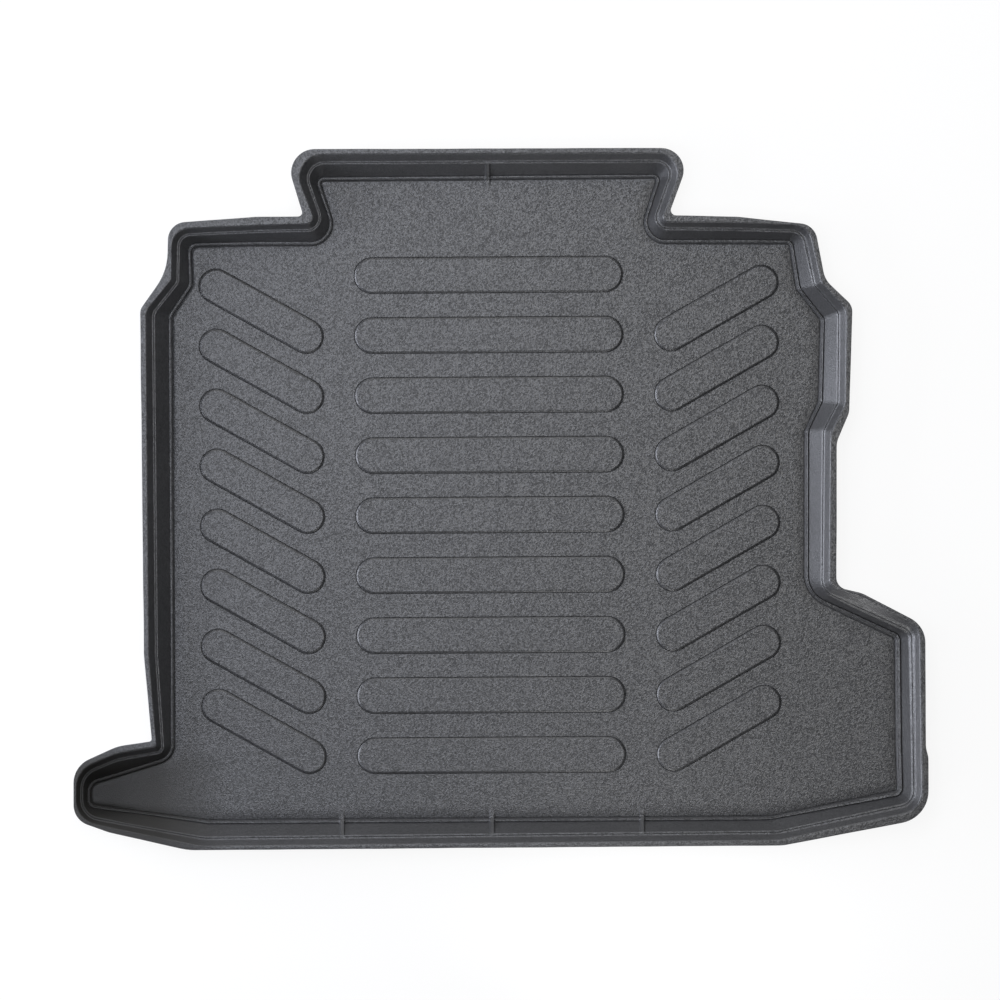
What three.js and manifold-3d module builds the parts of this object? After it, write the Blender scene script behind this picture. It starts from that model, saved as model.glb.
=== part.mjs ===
import * as THREE from "three";
import Module from "manifold-3d";

// A car boot liner: one plastic sheet, formed into a shallow tray with a stepped rim wall, a
// hand-trimmed flange and a floor of raised anti-slip pads.
// Millimetres, +X to the right, +Y towards the seats, +Z up. The floor's underside is at z = 0.

const wasm = await Module();
wasm.setup();

// Main sizes
const floorWidth = 1208; // along X, from the tongue's end to the pocket's side
const floorDepth = 957; // along Y, from the front edge to the neck's back edge
const rimReach = 30; // of the wall in plan, at the corner where it reaches farthest

// Sheet and section of the rim
const sheet = 2.5;
const stepRun = 1.5;
const stepRise = 2.5;
const toeShare = 0.28; // of the way from the floor's edge to the wall's top
const toeRise = 0.5;
const wallTop = 30;
const ledgeWidth = 4;
const grooveDepth = 1.2;
const rimTop = 44;
const flangeDroop = 1.5;

// Raised pads: a column of bars across the middle and a column of slanted bars on each side
const padRise = 2;
const padEdge = 1.6;
const padHollowInset = 1.5;
const padPitch = 0.0941 * floorDepth;
const barCount = 9;
const barLength = floorWidth / 3;
const barWidth = 53.5;
const slantCount = 8;
const slantLength = 0.1685 * floorWidth;
const slantWidth = 50.5;
const slantAngle = THREE.MathUtils.degToRad(29.5);
const slantOffsetX = 0.2815 * floorWidth; // from the middle column to each side column
const slantOffsetY = -8; // of the side columns against the middle one

// Gusset ribs from the floor's edge to the wall's top
const ribWidth = 8;
const ribRound = 2.5;
const ribFoot = 5;
const backRibs = [0];
const frontRibPitch = 0.186 * floorWidth;
const frontRibs = [-frontRibPitch, 0, frontRibPitch];

// Fineness of the mesh
const turnPerStep = THREE.MathUtils.degToRad(15);
const padArcSteps = 4; // in each quarter of a pad's round end
const padEdgeSteps = 2;
const ribEdgeSteps = 2;
const shortestReach = 4; // half of the least stretch that a bend's points spread over
const sideShare = 0.45; // the most of a side that the bend at each of its ends takes up
const leastTurn = 1e-6; // stands in for no bend at all

// The outline's proportions, corner by corner, clockwise from the back left and measured from the
// middle of the pad columns. Each gives the floor's corner as x, y and radius, the way from there
// to the wall's top, the way from there to the trimmed edge, each with its radius, and the run of
// the upper wall. The main sizes set how large it is.
const corners = [
  { at: "neck left", floor: [-251, 502, 4], wall: [-28, 28, 24], trim: [-28, 21, 40], lip: 13 },
  { at: "neck right", floor: [253, 503, 4], wall: [29, 26, 20], trim: [27, 20, 46], lip: 12 },
  { at: "neck root right", floor: [221, 405, 33], wall: [24, 23, 18], trim: [26, 20, 8], lip: 10 },
  { at: "back edge right", floor: [370, 404, 90], wall: [0, 22, 90], trim: [5, 19, 90], lip: 10 },
  { at: "back right", floor: [451, 403, 4], wall: [21, 19, 21], trim: [18, 10, 27], lip: 10 },
  { at: "slant back right", floor: [461, 336, 12], wall: [28, 5, 15], trim: [16, 9, 38], lip: 11 },
  { at: "slant end right", floor: [497, 289, 4], wall: [28, 10, 14], trim: [21, 11, 22], lip: 12 },
  { at: "arch back right", floor: [493, 167, 6], wall: [30, -2, 15], trim: [17, -15, 30], lip: 11 },
  { at: "arch front right", floor: [472, 123, 15], wall: [29, 0, 18], trim: [20, -17, 38], lip: 11 },
  { at: "arch root right", floor: [470, -123, 57], wall: [27, 6, 27], trim: [22, 5, 18], lip: 11 },
  { at: "pocket brow", floor: [531, -154, 90], wall: [20, 12, 90], trim: [6, 21, 45], lip: 11 },
  { at: "pocket back", floor: [605, -189, 4], wall: [26, 10, 18], trim: [21, 8, 42], lip: 12 },
  { at: "pocket nick back", floor: [605.5, -352, 30], wall: [27, 0, 30], trim: [19, -2, 6], lip: 12 },
  { at: "pocket nick front", floor: [606, -367, 30], wall: [26.5, 0, 30], trim: [22.5, -1, 6], lip: 12 },
  { at: "pocket front", floor: [607, -417, 4], wall: [26, -20, 24], trim: [22, -22, 48], lip: 12 },
  { at: "front edge right", floor: [418, -454, 60], wall: [11, -25, 90], trim: [7, -20, 75], lip: 12 },
  { at: "front edge left", floor: [-426, -454, 60], wall: [-8, -28, 90], trim: [-23, -18, 90], lip: 12 },
  { at: "tongue front", floor: [-528, -440, 90], wall: [-23, -20, 90], trim: [-25, -12, 75], lip: 9 },
  { at: "tongue end front", floor: [-601, -429, 8], wall: [-15, -18, 30], trim: [-12, -6, 32], lip: 8 },
  { at: "tongue end back", floor: [-601, -401, 15], wall: [-14, 16, 33], trim: [-13, 12, 39], lip: 8 },
  { at: "tongue back", floor: [-550, -386, 90], wall: [-11, 23, 90], trim: [0, 20, 75], lip: 9 },
  { at: "arch root left", floor: [-475, -363, 30], wall: [-18, 11, 10], trim: [-17, 16, 4], lip: 9 },
  { at: "side left", floor: [-474.5, -207, 90], wall: [-27.5, 1, 120], trim: [-19, 0, 150], lip: 11 },
  { at: "slant end left", floor: [-474, 301, 6], wall: [-29, 5, 18], trim: [-20, 6, 18], lip: 11 },
  { at: "slant back left", floor: [-443, 347, 12], wall: [-23, 5, 18], trim: [-16, 17, 90], lip: 10 },
  { at: "back left", floor: [-445, 405, 9], wall: [-19, 18, 18], trim: [-16, 18, 27], lip: 10 },
  { at: "back edge left", floor: [-339, 406, 90], wall: [0, 22, 90], trim: [-9, 22, 90], lip: 9 },
  { at: "neck root left", floor: [-220, 405, 36], wall: [-24, 24, 20], trim: [-33, 21, 6], lip: 10 },
];

// The corners at the main sizes
function sizedCorners() {
  const places = (axis) => corners.map(({ floor }) => floor[axis]);
  const span = (axis) => Math.max(...places(axis)) - Math.min(...places(axis));
  const reaches = corners.flatMap(({ wall: [x, y] }) => [Math.abs(x), Math.abs(y)]);
  const rimScale = rimReach / Math.max(...reaches);
  const floorScale = [floorWidth / span(0), floorDepth / span(1), rimScale];
  return corners.map(({ floor, wall, trim, lip }) => ({
    floor: floor.map((length, i) => length * floorScale[i]),
    wall: wall.map((length) => length * rimScale),
    trim: trim.map((length) => length * rimScale),
    lip: lip * rimScale,
  }));
}

// The entry at an index of a list that closes on itself
const around = (list, index) => list[(index + list.length) % list.length];

// The bend at a corner, as a signed angle, with the directions into and out of it
function bendAt(points, index) {
  const corner = points[index];
  const before = around(points, index - 1);
  const after = around(points, index + 1);
  const into = corner.clone().sub(before);
  const out = after.clone().sub(corner);
  const room = sideShare * Math.min(into.length(), out.length());
  into.normalize();
  out.normalize();
  const turn = Math.atan2(into.cross(out), into.dot(out)) || leastTurn;
  return { into, out, room, turn };
}

// Points of the round at one corner, from where it leaves one side to where it meets the next
function roundAt(points, radii, index, steps) {
  const { into, room, turn } = bendAt(points, index);
  const half = Math.tan(Math.abs(turn) / 2);
  const reach = Math.min(Math.max(radii[index] * half, shortestReach), room);
  const side = new THREE.Vector2(-into.y, into.x).multiplyScalar(Math.sign(turn));
  const start = points[index].clone().addScaledVector(into, -reach);
  return Array.from({ length: steps + 1 }, (_, step) => {
    const angle = (Math.abs(turn) * step) / steps;
    return start
      .clone()
      .addScaledVector(into, (reach * Math.sin(angle)) / half)
      .addScaledVector(side, (reach * (1 - Math.cos(angle))) / half);
  });
}

// The same corners pushed out by each corner's own distance
function pushedOut(points, distances) {
  return points.map((point, index) => {
    const { into, out } = bendAt(points, index);
    const outward = new THREE.Vector2(-into.y - out.y, into.x + out.x);
    return point.clone().addScaledVector(outward, distances[index] / (1 + into.dot(out)));
  });
}

// The four outlines that the rim follows, each a closed row of points, as many in each
function rimOutlines() {
  const sized = sizedCorners();
  const floor = sized.map(({ floor: [x, y] }) => new THREE.Vector2(x, y));
  const wall = sized.map(({ wall: [x, y] }, i) => floor[i].clone().add(new THREE.Vector2(x, y)));
  const trim = sized.map(({ trim: [x, y] }, i) => wall[i].clone().add(new THREE.Vector2(x, y)));
  const lip = pushedOut(wall, sized.map((corner) => corner.lip));
  const steps = floor.map((_, i) => {
    return Math.max(2, Math.round(Math.abs(bendAt(floor, i).turn) / turnPerStep));
  });
  const rounded = (points, radii) => {
    return points.flatMap((_, i) => roundAt(points, radii, i, steps[i]));
  };
  const lipRadii = sized.map(({ wall: [, , radius], lip: run }, i) => {
    return Math.max(0, radius - Math.sign(bendAt(wall, i).turn) * run);
  });
  return {
    floor: rounded(floor, sized.map((corner) => corner.floor[2])),
    wall: rounded(wall, sized.map((corner) => corner.wall[2])),
    lip: rounded(lip, lipRadii),
    trim: rounded(trim, sized.map((corner) => corner.trim[2])),
  };
}

// One row of the skin: a share of the way from one outline to the next, plus a run in millimetres
function rowBetween(from, to, share, run, height) {
  return from.map((start, i) => {
    const way = to[i].clone().sub(start);
    const point = start.clone().addScaledVector(way, share + run / way.length());
    return new THREE.Vector3(point.x, point.y, height);
  });
}

// The upper skin of the rim, row by row from the floor's edge to the trimmed edge
function upperSkin({ floor, wall, lip, trim }) {
  const toe = sheet + stepRise;
  const half = ledgeWidth / 2;
  return {
    floorEdge: rowBetween(floor, wall, 0, 0, sheet),
    stepTop: rowBetween(floor, wall, 0, stepRun, toe),
    toeEdge: rowBetween(floor, wall, toeShare, 0, toe + toeRise),
    ledgeInner: rowBetween(floor, wall, 1, -half, wallTop),
    groove: rowBetween(floor, wall, 1, 0, wallTop - grooveDepth),
    ledgeOuter: rowBetween(wall, lip, 0, half, wallTop),
    lipEdge: rowBetween(wall, lip, 1, 0, rimTop),
    trimEdge: rowBetween(lip, trim, 1, 0, rimTop - flangeDroop),
  };
}

// The skin's normal at one point, from its neighbours along the row and in another row
function normalTowards(row, other, index, sign) {
  const along = around(row, index + 1).clone().sub(around(row, index - 1));
  const across = other[index].clone().sub(row[index]).multiplyScalar(sign);
  return along.cross(across).normalize();
}

// A copy of the skin one sheet thickness below it, measured square to the surface
function lowerSkin(rows) {
  const up = new THREE.Vector3(0, 0, 1);
  return rows.map((row, r) => {
    const below = (point) => point.clone().addScaledVector(up, -sheet);
    if (r === rows.length - 1) return row.map(below);
    return row.map((point, i) => {
      const inner = r === 0 ? up : normalTowards(row, rows[r - 1], i, -1);
      const outer = normalTowards(row, rows[r + 1], i, 1);
      const mitre = inner.clone().add(outer).multiplyScalar(sheet / (1 + inner.dot(outer)));
      return point.clone().sub(mitre);
    });
  });
}

// A closed body from rows of points that run clockwise, capped at the first row and the last
function closedLoft(rows) {
  const count = rows[0].length;
  const faces = [];
  for (let r = 0; r + 1 < rows.length; r++) {
    for (let i = 0; i < count; i++) {
      const next = (i + 1) % count;
      const [a, b] = [r * count + i, r * count + next];
      const [c, d] = [a + count, b + count];
      faces.push(a, c, b, b, c, d);
    }
  }
  const flat = (row) => row.map(({ x, y }) => new THREE.Vector2(x, y));
  const cap = (row) => THREE.ShapeUtils.triangulateShape(flat(row), []);
  const last = (rows.length - 1) * count;
  for (const [a, b, c] of cap(rows[0])) faces.push(a, c, b);
  for (const [a, b, c] of cap(rows.at(-1))) faces.push(last + a, last + b, last + c);
  return new THREE.BufferGeometry().setFromPoints(rows.flat()).setIndex(faces);
}

// A closed row of points round a bar with round ends, which lies along X about the origin
function stadiumRow(length, width, inset, height) {
  const radius = width / 2 - inset;
  const middle = (length - width) / 2;
  return [1, -1].flatMap((end) => {
    return Array.from({ length: 2 * padArcSteps + 1 }, (_, step) => {
      const angle = (end * Math.PI) / 2 - (Math.PI * step) / (2 * padArcSteps);
      return new THREE.Vector3(
        end * middle + radius * Math.cos(angle),
        radius * Math.sin(angle),
        height,
      );
    });
  });
}

// A raised pad's body, rooted in the floor, with a rounded upper edge
function padBody({ length, width }) {
  const edge = Array.from({ length: padEdgeSteps + 1 }, (_, step) => {
    const angle = (Math.PI * step) / (2 * padEdgeSteps);
    const inset = padEdge * (1 - Math.cos(angle));
    return stadiumRow(length, width, inset, sheet + padRise * Math.sin(angle));
  });
  return closedLoft([stadiumRow(length, width, 0, sheet / 2), ...edge]);
}

// The hollow under a pad, which keeps the sheet's thickness
function padHollow({ length, width }) {
  const row = (height) => stadiumRow(length, width, padHollowInset, height);
  return closedLoft([row(-sheet), row(padRise)]);
}

// Where every pad lies
function padPlaces() {
  const places = [];
  const middleRow = (count, row) => (row - (count - 1) / 2) * padPitch;
  for (let row = 0; row < barCount; row++) {
    places.push({ x: 0, y: middleRow(barCount, row), angle: 0, length: barLength, width: barWidth });
  }
  for (const side of [-1, 1]) {
    for (let row = 0; row < slantCount; row++) {
      places.push({
        x: side * slantOffsetX,
        y: slantOffsetY + middleRow(slantCount, row),
        angle: side * slantAngle,
        length: slantLength,
        width: slantWidth,
      });
    }
  }
  return places;
}

function placed(geometry, { x, y, angle }) {
  return geometry.rotateZ(angle).translate(x, y, 0);
}

// Where a closed row of points crosses the line at x, on the back (1) or front (-1) side
function crossing(row, x, side) {
  const hits = row.flatMap((start, i) => {
    const end = around(row, i + 1);
    if (start.x < x === end.x < x) return [];
    return [start.clone().lerp(end, (x - start.x) / (end.x - start.x))];
  });
  return hits.sort((a, b) => side * (b.y - a.y))[0];
}

// A gusset rib: a rounded fin that fills the fold between the floor and the wall
function gussetRib(skin, x, side) {
  const rows = [skin.floorEdge, skin.stepTop, skin.toeEdge, skin.ledgeInner];
  const wallLine = rows.map((row) => crossing(row, x, side));
  const root = sheet / 2;
  const foot = side * wallLine[0].y - ribFoot;
  const buried = wallLine.map(({ y, z }) => [side * y, z - root]).reverse();
  const outlineAt = (angle, end) => {
    const drop = (root / 2) * (1 - Math.sin(angle));
    const across = ribWidth / 2 - ribRound * (1 - Math.cos(angle));
    const top = [side * wallLine.at(-1).y, wallTop - drop];
    const toe = [foot, sheet + stepRise / 2 - drop];
    const outline = [toe, top, ...buried, [foot, sheet - root]];
    return outline.map(([run, height]) => new THREE.Vector3(run, height, end * across));
  };
  const angles = Array.from({ length: ribEdgeSteps + 1 }, (_, step) => {
    return (step * Math.PI) / (2 * ribEdgeSteps);
  });
  const near = angles.map((angle) => outlineAt(angle, -1));
  const far = angles.toReversed().map((angle) => outlineAt(angle, 1));
  const turned = new THREE.Matrix4().makeBasis(
    new THREE.Vector3(0, side, 0),
    new THREE.Vector3(0, 0, 1),
    new THREE.Vector3(side, 0, 0),
  );
  return closedLoft([...near, ...far]).applyMatrix4(turned).translate(x, 0, 0);
}

// A closed geometry as a solid that can be joined and cut
function solidOf(geometry) {
  return new wasm.Manifold(
    new wasm.Mesh({
      numProp: 3,
      vertProperties: geometry.attributes.position.array,
      triVerts: new Uint32Array(geometry.index.array),
    }),
  );
}

function geometryOf(solid) {
  const mesh = solid.getMesh();
  return new THREE.BufferGeometry()
    .setAttribute("position", new THREE.BufferAttribute(mesh.vertProperties, 3))
    .setIndex(new THREE.BufferAttribute(mesh.triVerts, 1));
}

// The finished liner, centred on its own outline
function bootLiner() {
  const skin = upperSkin(rimOutlines());
  const upper = Object.values(skin);
  const lower = lowerSkin(upper.filter((row) => row !== skin.groove));
  const pads = padPlaces();
  const added = pads.map((pad) => solidOf(placed(padBody(pad), pad)));
  for (const x of backRibs) added.push(solidOf(gussetRib(skin, x, 1)));
  for (const x of frontRibs) added.push(solidOf(gussetRib(skin, x, -1)));
  const hollows = pads.map((pad) => solidOf(placed(padHollow(pad), pad)));
  const tray = solidOf(closedLoft([...lower, ...upper.toReversed()]));
  const formed = wasm.Manifold.union([tray, ...added]);
  const geometry = geometryOf(formed.subtract(wasm.Manifold.union(hollows)));
  geometry.computeBoundingBox();
  const middle = geometry.boundingBox.getCenter(new THREE.Vector3());
  geometry.translate(-middle.x, -middle.y, 0);
  geometry.computeVertexNormals();
  return geometry;
}

const plastic = new THREE.MeshStandardMaterial({ color: 0x46464a, roughness: 0.62, metalness: 0 });
const liner = new THREE.Mesh(bootLiner(), plastic);
liner.name = "boot_liner";

const part = new THREE.Group();
part.add(liner);

export default part;
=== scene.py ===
import math

import bpy
import numpy as np
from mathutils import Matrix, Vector
from mathutils.geometry import delaunay_2d_cdt

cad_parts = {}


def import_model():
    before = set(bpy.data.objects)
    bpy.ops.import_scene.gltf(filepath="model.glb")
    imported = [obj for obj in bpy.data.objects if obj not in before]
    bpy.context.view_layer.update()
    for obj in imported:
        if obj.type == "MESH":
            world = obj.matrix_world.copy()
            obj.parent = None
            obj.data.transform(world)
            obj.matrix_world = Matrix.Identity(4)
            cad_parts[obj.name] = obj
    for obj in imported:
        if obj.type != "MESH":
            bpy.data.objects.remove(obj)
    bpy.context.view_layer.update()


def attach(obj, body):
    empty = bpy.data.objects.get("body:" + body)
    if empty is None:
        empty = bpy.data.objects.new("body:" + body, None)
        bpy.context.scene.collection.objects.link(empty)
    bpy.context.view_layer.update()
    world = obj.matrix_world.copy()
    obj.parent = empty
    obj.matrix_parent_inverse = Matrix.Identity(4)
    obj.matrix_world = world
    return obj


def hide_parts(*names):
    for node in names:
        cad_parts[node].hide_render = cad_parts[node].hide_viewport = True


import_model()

# All lengths of the liner are in millimetres here and become metres in mesh_piece.
METRE = 0.001

# Sheet, and section of the rim from the floor outwards
SHEET = 2.5
EDGE_DIP = 1.3
CREASE_WIDTH = 1.6
CREASE_DEPTH = 0.9
STEP_RUN = 2.4
RIGHT_STEP_RUN = 3.2
STEP_RISE = 2.5
LINE_PLACE = 1.1
LINE_HALF = 0.4
LINE_DEPTH = 0.35
LINE_LIPS = (0.1, 0.15)
BEAD_RISE = 0.2
RIGHT_BEAD_RISE = 1.0
JOINT_HALF = 1.1
JOINT_DEPTH = 1.3
TOE_RUN = 7.8
POCKET_TOE_RUN = 10.5
TOE_RISE = 0.9
WALL_TOP = 30.0
LEDGE_HALF = 2.6
POCKET_LEDGE_HALF = 3.5
DIAGONAL_LEDGE_HALF = 5.0
LEDGE_TILT = 0.7
RIGHT_LEDGE_TILT = 3.6
DIAGONAL_LEDGE_TILT = 7.0
GROOVE_HALF = 0.6
GROOVE_DEPTH = 0.9
GROOVE_LIP = 0.1
RIM_TOP = 43.9
FLANGE_DROOP = 0.4
TRIM_WANDER = 0.5

# How long the round over each bend of that section is
ROUNDS = dict(foot=0.35, crease=0.3, step=0.6, line=0.2, bead=0.5, joint=0.3)
ROUNDS.update(toe=0.8, ledge=1.2, groove=0.25, lip=2.6, trim=0.5)
LOWER_ROUND = 1.5
LOWER_TRIM_ROUND = 0.4

# Raised pads, with the runs and drops of their sides
FLOOR_WIDTH = 1208
FLOOR_DEPTH = 957
BAR_COUNT = 9
SLANT_COUNT = 8
PAD_PITCH = 0.0941 * FLOOR_DEPTH
BAR = dict(length=FLOOR_WIDTH / 3, width=53.5)
SLANT = dict(length=206.5, width=51.0)
SLANT_ANGLE = math.radians(29.5)
SLANT_X = 341.3
SLANT_Y = -7.2
PAD_RISE = 2.2
PAD_SKIRT = 1.6
PAD_CREASE_START = 0.9
PAD_CREASE_MIDDLE = 0.1
PAD_CREASE_DEPTH = 0.9
PAD_EDGE = 0.5
PAD_EDGE_DROP = 1.7
PAD_SLOPE_RUN = 2.1
PAD_SLOPE_DROP = 0.1
PAD_TOP_RUN = 3.2
HOLLOW_SKIRT = 0.9
HOLLOW_MOUTH = 0.7
HOLLOW_SIDE = 1.9
HOLLOW_ROOF = 3.5

# Gusset ribs
RIB_HALF_FLAT = 2.2
RIB_SIDE = 2.6
RIB_CLEARANCE = 9
RIB_FULLNESS = 1.02
BACK_RIBS = (0.0,)
FRONT_RIBS = (-225.0, 0.0, 225.0)
BACK_RIBS_BEYOND = 440
FRONT_RIBS_BEYOND = -380

# Plastic: pairs of shares are for steep and for flat faces
GRAIN_SCALE = 420
CELL_SCALE = 560
GRAIN_HEIGHT = 0.0004
BUMP_STRENGTH = 0.6
GRAIN_LEFT = 0.6
GRAIN_SPAN = 0.45
SPECK_SHARES = (0.3, 0.85)
BUMP_SHARES = (0.6, 1.0)
FLAT_FROM = 0.7
FLAT_FULL = 0.95
SMUDGE_SCALE = 5.5
MOTTLE_SCALE = 85
MOTTLE_SHARE = 0.25
ROUGH_LOW = 0.2
ROUGH_HIGH = 0.56
ROUGH_WALL = 0.36
BASE_LOW = (0.033, 0.033, 0.034, 1)
BASE_HIGH = (0.041, 0.041, 0.042, 1)
BASE_DARK = (0.01, 0.01, 0.01, 1)
BASE_SPECK = (0.075, 0.075, 0.077, 1)

# Painted shade: the tongue's base colour is darker and a little brown, standing in for the shade
# that falls on it, and its plastic is rougher
TONGUE_START = -0.405
TONGUE_FULL = -0.515
TONGUE_TOP = -0.36
TONGUE_FADE = 0.04
TONGUE_PAINTED_SHADE = (0.017, 0.016, 0.014, 1)
TONGUE_ROUGH = 0.6

# Light: soft panels round the liner, by azimuth and elevation in degrees, watts, colour and size.
# The wide ones are spread out to be dimmer in the floor where it is seen at a low angle.
PANEL_DISTANCE = 2.4
PANEL_SIZE = (1.0, 0.8)
WIDE_SIZE = (2.4, 1.15)
COOL = (0.94, 0.98, 1.1)
NEUTRAL = (1.0, 1.0, 1.0)
WARM = (1.02, 1.0, 0.93)
PANELS = {
    "left_low": (180, 15, 96, COOL, WIDE_SIZE),
    "left_high": (180, 60, 9, COOL, PANEL_SIZE),
    "back": (90, 35, 14, NEUTRAL, WIDE_SIZE),
    "back_high": (90, 60, 9, COOL, PANEL_SIZE),
    "back_low": (90, 14, 18, NEUTRAL, WIDE_SIZE),
    "front_low": (270, 12, 3, NEUTRAL, PANEL_SIZE),
    "right_high": (0, 60, 3, NEUTRAL, PANEL_SIZE),
}
OVERHEAD_HEIGHT = 2.5
OVERHEAD_SIZE = (0.8, 1.6)
OVERHEAD_FORWARD = 0.2
OVERHEADS = {"overhead_left": (-0.4, 16.0, COOL), "overhead_right": (0.4, 10.7, WARM)}
POCKET_LAMP = dict(place=(0.19, -0.78, 0.27), size=(0.24, 0.2), watts=1.5, colour=NEUTRAL)
POCKET_PLACE = (0.57, -0.13, 0.03)

# Floor round the liner, and camera
FLOOR_HALF = 6.0
FLOOR_DROP = 0.0003
FLOOR_COLOUR = (0.9, 0.9, 0.9, 1)
FLOOR_ROUGH = 0.9
FLOOR_WHITE = 0.9
PICTURE_WIDTH = 1.5
CAMERA_PLACE = (0.0015, -0.00305, 3.0)
CAMERA_TURN = math.radians(-0.4)

# The middle of the liner's box, seen from the middle of the pad columns
BOX_MIDDLE = np.array([13.5, 25.4289])

# Fineness of the mesh
TURN_STEP = math.radians(6)
STRETCH_STEP = 14.0
SHORTEST_REACH = 4.0
SIDE_SHARE = 0.45
PAD_ARC_STEPS = 14
LEVEL_FACE = 0.99999  # how upright the normal of a level face is

# How far in from its edge the floor starts to dip, and less where the pads or the tongue are near
FLAT_MARGIN = 18.0
NARROW_MARGINS = {17: 12.0, 18: 5.0, 19: 5.0, 20: 12.0, 23: 4.0, 24: 4.0, 25: 4.0}

# Corners, clockwise from the back left: the floor's corner (x, y, radius), the way from there to
# the wall's top, the way from there to the trimmed edge, and the run of the upper wall
CORNERS = [
    ((-251, 502, 4), (-28, 28, 24), (-28, 21, 40), 13),
    ((253, 503, 4), (29, 26, 20), (27, 20, 46), 12),
    ((221, 405, 33), (24, 23, 18), (26, 20, 8), 10),
    ((370, 404, 90), (0, 22, 90), (5, 19, 90), 10),
    ((451, 403, 4), (21, 19, 21), (18, 10, 27), 10),
    ((461, 336, 12), (28, 5, 15), (16, 9, 38), 11),
    ((497, 289, 4), (28, 10, 14), (21, 11, 22), 12),
    ((493, 167, 6), (30, -2, 15), (17, -15, 30), 11),
    ((472, 123, 15), (29, 0, 18), (20, -17, 38), 11),
    ((470, -123, 57), (27, 6, 27), (22, 5, 18), 11),
    ((531, -154, 90), (20, 12, 90), (6, 21, 45), 18),
    ((605, -189, 4), (26, 10, 18), (21, 8, 42), 12),
    ((605.5, -352, 30), (27, 0, 30), (19, -2, 6), 12),
    ((606, -367, 30), (26.5, 0, 30), (22.5, -1, 6), 12),
    ((607, -417, 4), (26, -20, 24), (22, -22, 48), 12),
    ((418, -454, 60), (11, -25, 90), (7, -20, 75), 12),
    ((-426, -454, 60), (-8, -28, 90), (-23, -18, 90), 12),
    ((-528, -440, 90), (-23, -20, 90), (-25, -12, 75), 9),
    ((-601, -429, 8), (-15, -18, 30), (-12, -6, 32), 8),
    ((-601, -401, 15), (-14, 16, 33), (-13, 12, 39), 8),
    ((-550, -386, 90), (-11, 23, 90), (0, 20, 75), 9),
    ((-475, -363, 30), (-18, 11, 10), (-17, 16, 4), 9),
    ((-474.5, -207, 90), (-27.5, 1, 120), (-19, 0, 150), 11),
    ((-474, 301, 6), (-29, 5, 18), (-20, 6, 18), 11),
    ((-443, 347, 12), (-23, 5, 18), (-16, 17, 90), 10),
    ((-445, 405, 9), (-19, 18, 18), (-16, 18, 27), 10),
    ((-339, 406, 90), (0, 22, 90), (-9, 22, 90), 9),
    ((-220, 405, 36), (-24, 24, 20), (-33, 21, 6), 10),
]

# Corners at which the section differs: in the pocket, along its slanting edge and on the right
POCKET_CORNERS = (12, 13, 14)
DIAGONAL_CORNERS = (10, 11)
RIGHT_CORNERS = range(5, 15)

# The stretches that start at these corners carry the ribs
FRONT_STRETCH = 15
BACK_STRETCH = 0


def unit(v):
    return v / np.linalg.norm(v)


def cross2(a, b):
    return a[0] * b[1] - a[1] * b[0]


def bend_at(points, i):
    """Directions into and out of a corner, the room for its round, and its signed turn."""
    corner = points[i]
    into = corner - points[i - 1]
    out = points[(i + 1) % len(points)] - corner
    room = SIDE_SHARE * min(np.linalg.norm(into), np.linalg.norm(out))
    into, out = unit(into), unit(out)
    turn = math.atan2(cross2(into, out), into @ out) or 1e-6
    return into, out, room, turn


def round_at(points, radius, i, steps):
    into, _, room, turn = bend_at(points, i)
    half = math.tan(abs(turn) / 2)
    reach = min(max(radius * half, SHORTEST_REACH), room)
    side = np.array([-into[1], into[0]]) * math.copysign(1, turn)
    start = points[i] - into * reach
    angles = abs(turn) * np.arange(steps + 1) / steps
    along = np.sin(angles)[:, None] * into
    across = (1 - np.cos(angles))[:, None] * side
    return start + (along + across) * reach / half


def pushed_out(points, distances):
    moved = []
    for i, point in enumerate(points):
        into, out, _, _ = bend_at(points, i)
        outward = np.array([-into[1] - out[1], into[0] + out[0]])
        moved.append(point + outward * distances[i] / (1 + into @ out))
    return np.array(moved)


def rib_samples(x):
    reach = RIB_HALF_FLAT + RIB_SIDE
    near = [0, RIB_HALF_FLAT * 0.6, RIB_HALF_FLAT]
    near += [RIB_HALF_FLAT + RIB_SIDE * s for s in (0.2, 0.4, 0.6, 0.8, 1.0)]
    near += [reach + 1.0]
    return sorted({x - d for d in near} | {x + d for d in near})


def straight_samples(start, end, ribs):
    """X values for the points of a stretch that carries ribs, in walking order."""
    xs = sorted(x for rib in ribs for x in rib_samples(rib))
    lo, hi = sorted((start, end))
    grid = np.arange(lo + STRETCH_STEP, hi, STRETCH_STEP)
    clear = [x for x in grid if all(abs(x - rib) > RIB_CLEARANCE for rib in ribs)]
    xs = sorted([x for x in xs if lo + 2 < x < hi - 2] + clear)
    return xs if end > start else xs[::-1]


def ledge_sizes(corner):
    """At a corner, the runs and rises of the rim's section that differ from side to side.

    They are how far from the floor's edge the wall starts, the ledge's half width and rise, the
    run of the step up from the floor, and the rise across the bead on top of it.
    """
    ledge = (TOE_RUN, LEDGE_HALF, LEDGE_TILT)
    if corner in RIGHT_CORNERS:
        ledge = (TOE_RUN, LEDGE_HALF, RIGHT_LEDGE_TILT)
    if corner in POCKET_CORNERS:
        ledge = (POCKET_TOE_RUN, POCKET_LEDGE_HALF, RIGHT_LEDGE_TILT)
    if corner in DIAGONAL_CORNERS:
        ledge = (POCKET_TOE_RUN, DIAGONAL_LEDGE_HALF, DIAGONAL_LEDGE_TILT)
    on_right = corner in RIGHT_CORNERS
    bead = (RIGHT_STEP_RUN, RIGHT_BEAD_RISE) if on_right else (STEP_RUN, BEAD_RISE)
    return np.array([*ledge, *bead])


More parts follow.
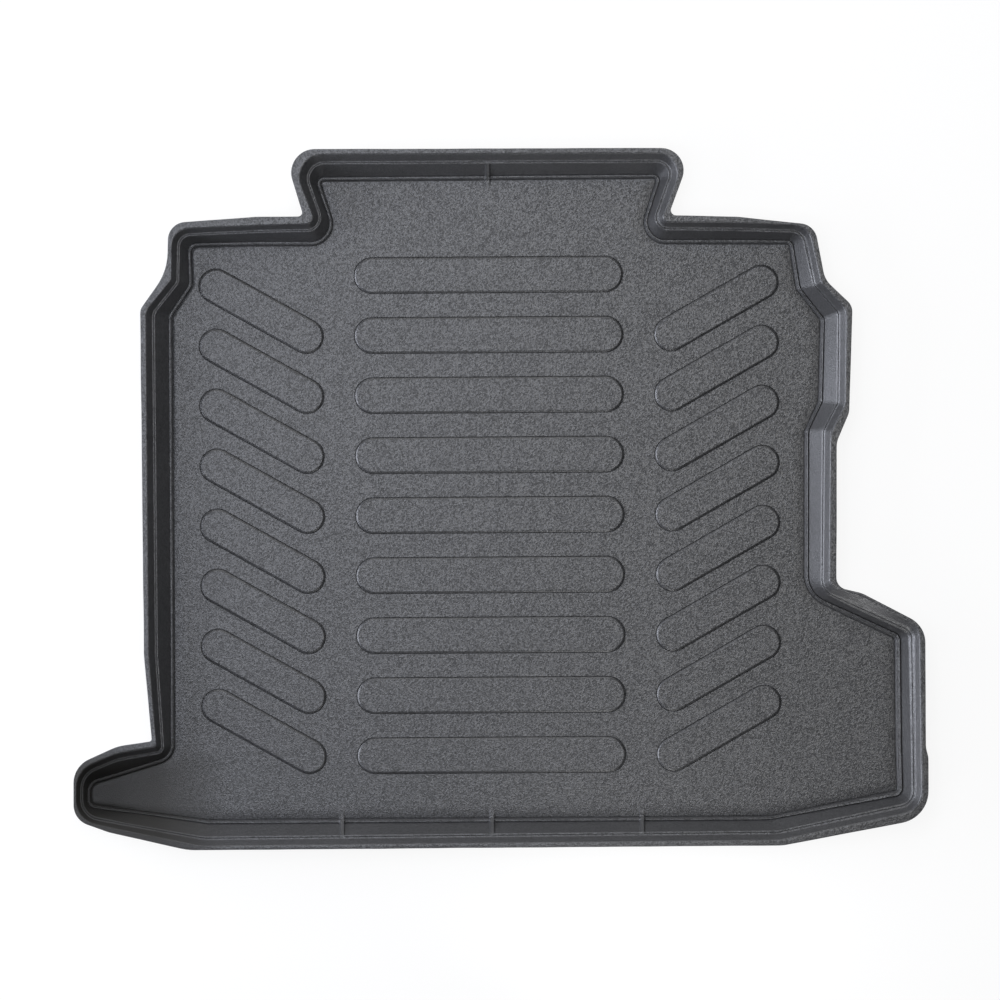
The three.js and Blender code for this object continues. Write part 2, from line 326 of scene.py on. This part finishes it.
def rim_outlines():
    """The five outlines that the rim follows, with as many points in each."""
    floor = np.array([c[0][:2] for c in CORNERS], float)
    wall = floor + np.array([c[1][:2] for c in CORNERS], float)
    trim = wall + np.array([c[2][:2] for c in CORNERS], float)
    lip = pushed_out(wall, [c[3] for c in CORNERS])
    margins = [NARROW_MARGINS.get(i, FLAT_MARGIN) for i in range(len(floor))]
    inner = pushed_out(floor, [-margin for margin in margins])
    inner_radii, lip_radii = [], []
    for i, c in enumerate(CORNERS):
        floor_turn, wall_turn = bend_at(floor, i)[3], bend_at(wall, i)[3]
        inner_radii.append(max(0, c[0][2] + math.copysign(margins[i], floor_turn)))
        lip_radii.append(max(0, c[1][2] - math.copysign(c[3], wall_turn)))
    outlines = [inner, floor, wall, lip, trim]
    radii = [inner_radii, [c[0][2] for c in CORNERS], [c[1][2] for c in CORNERS], lip_radii]
    radii.append([c[2][2] for c in CORNERS])
    count = len(CORNERS)
    steps = [max(3, round(abs(bend_at(floor, i)[3]) / TURN_STEP)) for i in range(count)]
    rounds = [
        [round_at(points, radius[i], i, steps[i]) for i in range(count)]
        for points, radius in zip(outlines, radii)
    ]
    rows = [[] for _ in outlines]
    sizes = []
    for i in range(count):
        ribs = {FRONT_STRETCH: FRONT_RIBS, BACK_STRETCH: BACK_RIBS}.get(i)
        ends = [(r[i][-1], r[(i + 1) % count][0]) for r in rounds]
        if ribs is None:
            length = np.linalg.norm(ends[0][1] - ends[0][0])
            pieces = max(1, round(length / STRETCH_STEP))
            shares = [[s / pieces for s in range(1, pieces)]] * len(rows)
        else:
            a = [min(e[0][0], e[1][0]) for e in ends]
            b = [max(e[0][0], e[1][0]) for e in ends]
            walk = ends[0][1][0] > ends[0][0][0]
            span = (max(a), min(b)) if walk else (min(b), max(a))
            xs = straight_samples(*span, ribs)
            shares = [[(x - e[0][0]) / (e[1][0] - e[0][0]) for x in xs] for e in ends]
        for row, r, end, share in zip(rows, rounds, ends, shares):
            row.extend(r[i])
            row.extend(end[0] + (end[1] - end[0]) * s for s in share)
        near, far = ledge_sizes(i), ledge_sizes((i + 1) % count)
        sizes.extend([near] * (steps[i] + 1))
        sizes.extend(near + (far - near) * s for s in shares[0])
    return [np.array(row) for row in rows], np.array(sizes).T[:, :, None]


def row_between(start, end, share, run, height):
    """Points a share of the way from one outline to the next, plus a run in millimetres."""
    way = end - start
    length = np.linalg.norm(way, axis=1, keepdims=True)
    flat = start + way * (share + run / length)
    return np.column_stack([flat, np.broadcast_to(height, (len(flat), 1))])


def edge_wander(row):
    """The small wander of an edge that was trimmed by hand, always inwards."""
    x, y = row[:, 0], row[:, 1]
    wave = np.sin(x / 31 + y / 23) + np.sin(x / 13 - y / 17 + 1) + np.sin(x / 57 + y / 41 + 2)
    outward = row[:, :2] / np.linalg.norm(row[:, :2], axis=1, keepdims=True)
    moved = row.copy()
    moved[:, :2] -= outward * (TRIM_WANDER * (0.5 + wave / 6))[:, None]
    return moved


def key_rows(inner, floor, wall, lip, trim, toes, half, tilt, step, bead):
    """The upper skin's rows between bends, each with the length that its bend is rounded over."""
    foot = SHEET - EDGE_DIP
    toe = SHEET + STEP_RISE
    line = step + LINE_PLACE
    dip = [
        (row_between(inner, floor, share, 0, SHEET - EDGE_DIP * share**2), 0)
        for share in (0, 0.25, 0.5, 0.75)
    ]

    def near_floor(run, height, bend):
        return row_between(floor, wall, 0, run, height), ROUNDS[bend]

    def near_wall(run, height, bend):
        return row_between(floor, wall, 1, run, WALL_TOP + height), ROUNDS[bend]

    return dip + [
        near_floor(-CREASE_WIDTH / 2, foot, "foot"),
        near_floor(0, foot - CREASE_DEPTH, "crease"),
        near_floor(step, toe, "step"),
        near_floor(line - LINE_HALF, toe + LINE_LIPS[0], "line"),
        near_floor(line, toe - LINE_DEPTH, "line"),
        near_floor(line + LINE_HALF, toe + LINE_LIPS[1], "line"),
        near_floor(toes - 2 * JOINT_HALF, toe + bead, "bead"),
        near_floor(toes - JOINT_HALF, toe - JOINT_DEPTH, "joint"),
        near_floor(toes, toe + TOE_RISE, "toe"),
        near_wall(-half, -tilt / 2, "ledge"),
        near_wall(-GROOVE_HALF, -GROOVE_LIP, "groove"),
        near_wall(0, -GROOVE_DEPTH, "groove"),
        near_wall(GROOVE_HALF, GROOVE_LIP, "groove"),
        (row_between(wall, lip, 0, half, WALL_TOP + tilt / 2), ROUNDS["ledge"]),
        (row_between(wall, lip, 1, 0, RIM_TOP), ROUNDS["lip"]),
        (edge_wander(row_between(lip, trim, 1, 0, RIM_TOP - FLANGE_DROOP)), ROUNDS["trim"]),
    ]


# Places in key_rows: the crease's side, the ledge's groove, and the rows the lower skin follows
FOOT_KEY = 4
GROOVE_KEY = 14
LOWER_ROWS = (0, 5, 6, 12, 13, 17, 18)


def rounded_rows(rows, steps=3):
    """The same skin with each bend drawn as a short curve through its two neighbours' sides."""
    points = [r[0] for r in rows]
    result = []
    for r, (point, cut) in enumerate(rows):
        if not cut or r in (0, len(rows) - 1):
            result.append(point)
            continue
        before, after = points[r - 1] - point, points[r + 1] - point
        lb = np.linalg.norm(before, axis=1, keepdims=True)
        la = np.linalg.norm(after, axis=1, keepdims=True)
        reach = np.minimum(cut, SIDE_SHARE * np.minimum(lb, la))
        p0, p2 = point + before / lb * reach, point + after / la * reach
        for s in np.linspace(0, 1, steps + 1):
            result.append((1 - s) ** 2 * p0 + 2 * s * (1 - s) * point + s**2 * p2)
    return result


def skin_normals(row, other, sign):
    along = np.roll(row, -1, axis=0) - np.roll(row, 1, axis=0)
    across = (other - row) * sign
    normal = np.cross(along, across)
    return normal / np.linalg.norm(normal, axis=1, keepdims=True)


def lower_keys(rows):
    """The lower skin's rows: the chosen upper rows, one sheet thickness further down."""
    points = [rows[r][0] for r in LOWER_ROWS]
    trim = rows[-1][0]
    up = np.array([[0, 0, 1.0]])
    lower = []
    for r, point in enumerate(points):
        inner = up if r == 0 else skin_normals(point, points[r - 1], -1)
        last = r == len(points) - 1
        outer = skin_normals(point, trim if last else points[r + 1], 1)
        dot = np.sum(inner * outer, axis=1, keepdims=True)
        moved = point - (inner + outer) * SHEET / (1 + dot)
        moved[:, 2] = np.maximum(moved[:, 2], 0)
        lower.append((moved, LOWER_ROUND if r else 0))
    lower.append((trim - up * SHEET, LOWER_TRIM_ROUND))
    return lower


def rib_weight(row, ribs, back):
    """How far each point of a row is on a rib: 1 on its top, 0 beside it."""
    weight = np.zeros(len(row))
    for rib in ribs:
        away = np.abs(row[:, 0] - rib)
        s = np.clip((RIB_HALF_FLAT + RIB_SIDE - away) / RIB_SIDE, 0, 1)
        weight = np.maximum(weight, s * s * (3 - 2 * s))
    on_side = row[:, 1] > BACK_RIBS_BEYOND if back else row[:, 1] < FRONT_RIBS_BEYOND
    return weight * on_side


def raise_ribs(rows, keys, ribs, back):
    """Fills the fold between floor and wall with rounded ribs, by moving the skin's points."""
    side = 1 if back else -1
    foot = keys[FOOT_KEY][0][:, 1]
    top = keys[GROOVE_KEY][0]
    for row in rows[1:]:
        weight = rib_weight(row, ribs, back)
        if not weight.any():
            continue
        run = side * (top[:, 1] - foot)
        share = np.clip(side * (row[:, 1] - foot) / run, 0, 1)
        line = SHEET + (top[:, 2] - SHEET) * np.minimum(1, share * RIB_FULLNESS)
        lift = np.maximum(0, line - row[:, 2]) * weight * (row[:, 2] < WALL_TOP)
        row[:, 2] += lift


class Mesh:
    """Vertices and faces of one piece, gathered part by part."""

    def __init__(self):
        self.points = []
        self.faces = []

    def add(self, points):
        start = len(self.points)
        self.points.extend(map(tuple, points))
        return list(range(start, start + len(points)))

    def strip(self, a, b):
        """Quads between two closed rows of vertex numbers."""
        n = len(a)
        for i in range(n):
            j = (i + 1) % n
            self.faces.append((a[i], a[j], b[j], b[i]))

    def loft(self, rows):
        rings = [self.add(row) for row in rows]
        for a, b in zip(rings, rings[1:]):
            self.strip(a, b)
        return rings

    def fill(self, outline, holes, flip=False):
        """A flat face with holes: outline and holes are lists of (vertex number, x, y)."""
        flat = [Vector((x, y)) for _, x, y in outline]
        numbers = [v for v, _, _ in outline]
        edges = [(i, (i + 1) % len(outline)) for i in range(len(outline))]
        for hole in holes:
            base = len(flat)
            flat.extend(Vector((x, y)) for _, x, y in hole)
            numbers.extend(v for v, _, _ in hole)
            edges.extend((base + i, base + (i + 1) % len(hole)) for i in range(len(hole)))
        verts, _, tris, source, _, _ = delaunay_2d_cdt(flat, edges, [], 0, 1e-5)
        outer = np.array([(x, y) for _, x, y in outline])
        inner = [np.array([(x, y) for _, x, y in hole]) for hole in holes]
        centres = np.array([np.mean([verts[i][:2] for i in t], axis=0) for t in tris])
        keep = inside(centres, outer)
        for hole in inner:
            keep &= ~inside(centres, hole)
        for t, kept in zip(tris, keep):
            if kept:
                face = [numbers[source[i][0]] for i in t]
                self.faces.append(tuple(face[::-1] if flip else face))


def inside(points, polygon):
    """Which points lie inside a polygon, by counting crossings."""
    x, y = points[:, 0], points[:, 1]
    result = np.zeros(len(points), bool)
    for a, b in zip(polygon, np.roll(polygon, -1, axis=0)):
        if a[1] == b[1]:
            continue
        spans = (a[1] > y) != (b[1] > y)
        result ^= spans & (x < (b[0] - a[0]) * (y - a[1]) / (b[1] - a[1]) + a[0])
    return result


def stadium(length, width, inset, height, place):
    """A closed row of points round a bar with round ends, turned and placed."""
    x0, y0, angle = place
    radius = width / 2 - inset
    middle = (length - width) / 2
    points = []
    for end in (1, -1):
        for step in range(2 * PAD_ARC_STEPS + 1):
            a = end * math.pi / 2 - math.pi * step / (2 * PAD_ARC_STEPS)
            points.append((end * middle + radius * math.cos(a), radius * math.sin(a)))
    flat = np.array(points)
    c, s = math.cos(angle), math.sin(angle)
    turned = flat @ np.array([[c, s], [-s, c]]) + np.array([x0, y0])
    return np.column_stack([turned, np.full(len(turned), float(height))])


def pad_places():
    places = []
    for row in range(BAR_COUNT):
        places.append((BAR, (0, (row - (BAR_COUNT - 1) / 2) * PAD_PITCH, 0)))
    for side in (-1, 1):
        for row in range(SLANT_COUNT):
            y = SLANT_Y + (row - (SLANT_COUNT - 1) / 2) * PAD_PITCH
            places.append((SLANT, (side * SLANT_X, y, side * SLANT_ANGLE)))
    return places


def numbered(ring, row):
    return [(v, p[0], p[1]) for v, p in zip(ring, row)]


def stadium_rows(keys, size, place):
    """Rows round a bar from keys that each give an inset, a height and the round's length."""
    return rounded_rows(
        [(stadium(**size, inset=inset, height=z, place=place), cut) for inset, z, cut in keys]
    )


def pad_rows(size, place):
    """Rows from the flat floor through the crease round a pad's foot to its flat top."""
    top = SHEET + PAD_RISE
    keys = [
        (-PAD_SKIRT, SHEET, 0),
        (-PAD_CREASE_START, SHEET, 0.3),
        (-PAD_CREASE_MIDDLE, SHEET - PAD_CREASE_DEPTH, 0.25),
        (PAD_EDGE, top - PAD_EDGE_DROP, 0.3),
        (PAD_EDGE + PAD_SLOPE_RUN, top - PAD_SLOPE_DROP, 0.5),
        (PAD_EDGE + PAD_TOP_RUN, top, 0),
    ]
    return stadium_rows(keys, size, place)


def hollow_rows(size, place):
    """Rows of the hollow under a pad, from the underside's flat to the hollow's flat roof."""
    keys = [
        (-HOLLOW_SKIRT, 0, 0),
        (HOLLOW_MOUTH, 0, 0.6),
        (HOLLOW_SIDE, PAD_RISE, 0.5),
        (HOLLOW_ROOF, PAD_RISE, 0),
    ]
    return stadium_rows(keys, size, place)


def build_liner():
    mesh = Mesh()
    outlines, sizes = rim_outlines()
    keys = key_rows(*outlines, *sizes)
    upper = rounded_rows(keys + lower_keys(keys)[-1:])[:-1]
    rows = rounded_rows(keys + lower_keys(keys)[::-1])
    raise_ribs(rows[: len(upper)], keys, BACK_RIBS, True)
    raise_ribs(rows[: len(upper)], keys, FRONT_RIBS, False)
    rings = mesh.loft(rows)
    first, last = rings[0], rings[-1]
    tops, hollows = [], []
    for size, place in pad_places():
        pad = pad_rows(size, place)[::-1]
        ring = mesh.loft(pad)
        tops.append(numbered(ring[-1], pad[-1]))
        mesh.faces.append(tuple(ring[0][::-1]))
        hollow = hollow_rows(size, place)
        ring = mesh.loft(hollow)
        hollows.append(numbered(ring[0], hollow[0]))
        mesh.faces.append(tuple(ring[-1]))
    mesh.fill(numbered(first, rows[0]), tops)
    mesh.fill(numbered(last, rows[-1]), hollows, flip=True)
    return mesh


def mesh_piece(name, mesh):
    data = bpy.data.meshes.new(name)
    points = np.array(mesh.points)
    points[:, :2] -= BOX_MIDDLE
    data.from_pydata((points * METRE).tolist(), [], mesh.faces)
    data.validate()
    data.update()
    # Level faces are shaded flat, so that the thin ones among them draw no streaks.
    upright = np.array([abs(face.normal.z) for face in data.polygons])
    data.polygons.foreach_set("use_smooth", upright < LEVEL_FACE)
    piece = bpy.data.objects.new(name, data)
    bpy.context.collection.objects.link(piece)
    # Large faces decide the shading of their corners, so that flats stay flat beside small rounds.
    shading = piece.modifiers.new("flat_faces_first", "WEIGHTED_NORMAL")
    shading.mode = "FACE_AREA"
    shading.weight = 50
    return piece


class Nodes:
    """A material's node tree, with short ways to add and join nodes."""

    def __init__(self, name):
        self.material = bpy.data.materials.new(name)
        self.material.use_nodes = True
        self.tree = self.material.node_tree
        self.shader = self.tree.nodes["Principled BSDF"]

    def add(self, kind, inputs=None, **settings):
        node = self.tree.nodes.new(kind)
        for key, value in settings.items():
            setattr(node, key, value)
        for key, value in (inputs or {}).items():
            if isinstance(value, bpy.types.NodeSocket):
                self.tree.links.new(value, node.inputs[key])
            else:
                node.inputs[key].default_value = value
        return node

    def join(self, output, name):
        self.tree.links.new(output, self.shader.inputs[name])

    def sum(self, operation, first, second):
        return self.add("ShaderNodeMath", {0: first, 1: second}, operation=operation).outputs[0]

    def mix(self, factor, low, high):
        """A colour between two colours."""
        node = self.add("ShaderNodeMix", {"Factor": factor}, data_type="RGBA")
        for name, value in (("A", low), ("B", high)):
            socket = next(s for s in node.inputs if s.name == name and s.type == "RGBA")
            if isinstance(value, bpy.types.NodeSocket):
                self.tree.links.new(value, socket)
            else:
                socket.default_value = value
        return next(s for s in node.outputs if s.type == "RGBA")

    def ramp(self, value, low, high, out_low=0.0, out_high=1.0):
        inputs = {"Value": value, "From Min": low, "From Max": high}
        inputs.update({"To Min": out_low, "To Max": out_high})
        return self.add("ShaderNodeMapRange", inputs).outputs[0]


def plastic_material():
    n = Nodes("formed_plastic")
    place = n.add("ShaderNodeTexCoord").outputs["Object"]

    def noise(scale, detail=2.0, rough=0.5):
        inputs = {"Vector": place, "Scale": scale, "Detail": detail, "Roughness": rough}
        return n.add("ShaderNodeTexNoise", inputs).outputs[0]

    normal = n.add("ShaderNodeNewGeometry").outputs["Normal"]
    upright = n.add("ShaderNodeSeparateXYZ", {0: normal})
    flat = n.ramp(upright.outputs["Z"], FLAT_FROM, FLAT_FULL)
    spot = n.add("ShaderNodeSeparateXYZ", {0: place})
    wear = n.ramp(spot.outputs["X"], -GRAIN_SPAN, GRAIN_SPAN, GRAIN_LEFT, 1.0)
    grained = n.sum("MULTIPLY", flat, wear)
    grain = noise(GRAIN_SCALE, 2.0, 0.6)
    cells = n.add("ShaderNodeTexVoronoi", {"Vector": place, "Scale": CELL_SCALE}, feature="F1")
    speck = n.ramp(cells.outputs["Color"], 0.2, 0.8)
    smudge = n.ramp(noise(SMUDGE_SCALE, 4.0, 0.55), 0.35, 0.7)
    mottle = n.ramp(noise(MOTTLE_SCALE, 3.0, 0.6), 0.3, 0.7)

    base = n.mix(smudge, BASE_LOW, BASE_HIGH)
    base = n.mix(n.ramp(mottle, 0.0, 1.0, 0.0, MOTTLE_SHARE), base, BASE_DARK)
    speckled = n.mix(speck, BASE_DARK, BASE_SPECK)
    base = n.mix(n.ramp(grained, 0.0, 1.0, *SPECK_SHARES), base, speckled)
    # Painted shade: towards the tongue's tip the base colour turns darker and a little brown, and
    # the roughness rises there
    along = n.ramp(spot.outputs["X"], TONGUE_START, TONGUE_FULL)
    beside = n.ramp(spot.outputs["Y"], TONGUE_TOP, TONGUE_TOP - TONGUE_FADE)
    painted_tongue_shade = n.sum("MULTIPLY", along, beside)
    n.join(n.mix(painted_tongue_shade, base, TONGUE_PAINTED_SHADE), "Base Color")

    sparkle = n.ramp(speck, 0.0, 1.0, ROUGH_HIGH, ROUGH_LOW)
    evened = n.add("ShaderNodeMix", {"Factor": grained, "A": ROUGH_WALL, "B": sparkle})
    tongue_roughness = n.add("ShaderNodeMix", {"Factor": painted_tongue_shade, "A": evened.outputs[0], "B": TONGUE_ROUGH})
    n.join(tongue_roughness.outputs[0], "Roughness")

    both = n.sum("ADD", grain, cells.outputs["Distance"])
    height = n.sum("MULTIPLY", both, n.ramp(grained, 0.0, 1.0, *BUMP_SHARES))
    inputs = {"Height": height, "Strength": BUMP_STRENGTH, "Distance": GRAIN_HEIGHT}
    n.join(n.add("ShaderNodeBump", inputs).outputs[0], "Normal")
    return n.material


def floor_material():
    """White to the camera, with part of the floor's own shading so that the shadow shows."""
    n = Nodes("pale_floor")
    n.shader.inputs["Base Color"].default_value = FLOOR_COLOUR
    n.shader.inputs["Roughness"].default_value = FLOOR_ROUGH
    path = n.add("ShaderNodeLightPath")
    white = n.add("ShaderNodeEmission", {"Color": (1, 1, 1, 1), "Strength": 1.0})
    seen = n.sum("MULTIPLY", path.outputs["Is Camera Ray"], FLOOR_WHITE)
    mix = n.add("ShaderNodeMixShader", {0: seen})
    n.tree.links.new(n.shader.outputs[0], mix.inputs[1])
    n.tree.links.new(white.outputs[0], mix.inputs[2])
    out = n.tree.nodes["Material Output"]
    n.tree.links.new(mix.outputs[0], out.inputs["Surface"])
    return n.material


def floor_plane():
    data = bpy.data.meshes.new("floor")
    corners = [(-1, -1), (1, -1), (1, 1), (-1, 1)]
    corners = [(FLOOR_HALF * x, FLOOR_HALF * y, 0) for x, y in corners]
    data.from_pydata(corners, [], [(0, 1, 2, 3)])
    plane = bpy.data.objects.new("floor", data)
    bpy.context.collection.objects.link(plane)
    plane.location.z = -FLOOR_DROP
    data.materials.append(floor_material())
    return plane


def area_light(name, place, size, watts, colour, target=(0, 0, 0)):
    data = bpy.data.lights.new(name, "AREA")
    data.shape = "RECTANGLE"
    data.size, data.size_y = size
    data.energy = watts
    data.color = colour
    light = bpy.data.objects.new(name, data)
    light.location = place
    way = Vector(target) - Vector(place)
    light.rotation_euler = way.to_track_quat("-Z", "Y").to_euler()
    bpy.context.collection.objects.link(light)


def panel_place(azimuth, elevation):
    """The middle of a panel that faces the liner from the given angles."""
    a, e = math.radians(azimuth), math.radians(elevation)
    level = PANEL_DISTANCE * math.cos(e)
    return level * math.cos(a), level * math.sin(a), PANEL_DISTANCE * math.sin(e)


def lights():
    for name, (azimuth, elevation, watts, colour, size) in PANELS.items():
        area_light(name, panel_place(azimuth, elevation), size, watts, colour)
    for name, (x, watts, colour) in OVERHEADS.items():
        place = (x, OVERHEAD_FORWARD, OVERHEAD_HEIGHT)
        area_light(name, place, OVERHEAD_SIZE, watts, colour, (x, OVERHEAD_FORWARD, 0))
    area_light("pocket_lamp", target=POCKET_PLACE, **POCKET_LAMP)


def camera():
    data = bpy.data.cameras.new("camera")
    data.type = "ORTHO"
    data.ortho_scale = PICTURE_WIDTH
    cam = bpy.data.objects.new("camera", data)
    cam.location = CAMERA_PLACE
    cam.rotation_euler = (0, 0, CAMERA_TURN)
    bpy.context.collection.objects.link(cam)
    bpy.context.scene.camera = cam


def world():
    """White behind the floor, as the camera sees it, and dark for everything else."""
    made = bpy.data.worlds.new("studio")
    bpy.context.scene.world = made
    made.use_nodes = True
    tree = made.node_tree
    back = tree.nodes["Background"]
    back.inputs["Color"].default_value = (1, 1, 1, 1)
    path = tree.nodes.new("ShaderNodeLightPath")
    tree.links.new(path.outputs["Is Camera Ray"], back.inputs["Strength"])


camera()
world()
lights()

liner = mesh_piece("liner_sheet", build_liner())
liner.data.materials.append(plastic_material())
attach(liner, "root")
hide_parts("boot_liner")
floor_plane()

bpy.context.scene.view_settings.view_transform = "Standard"
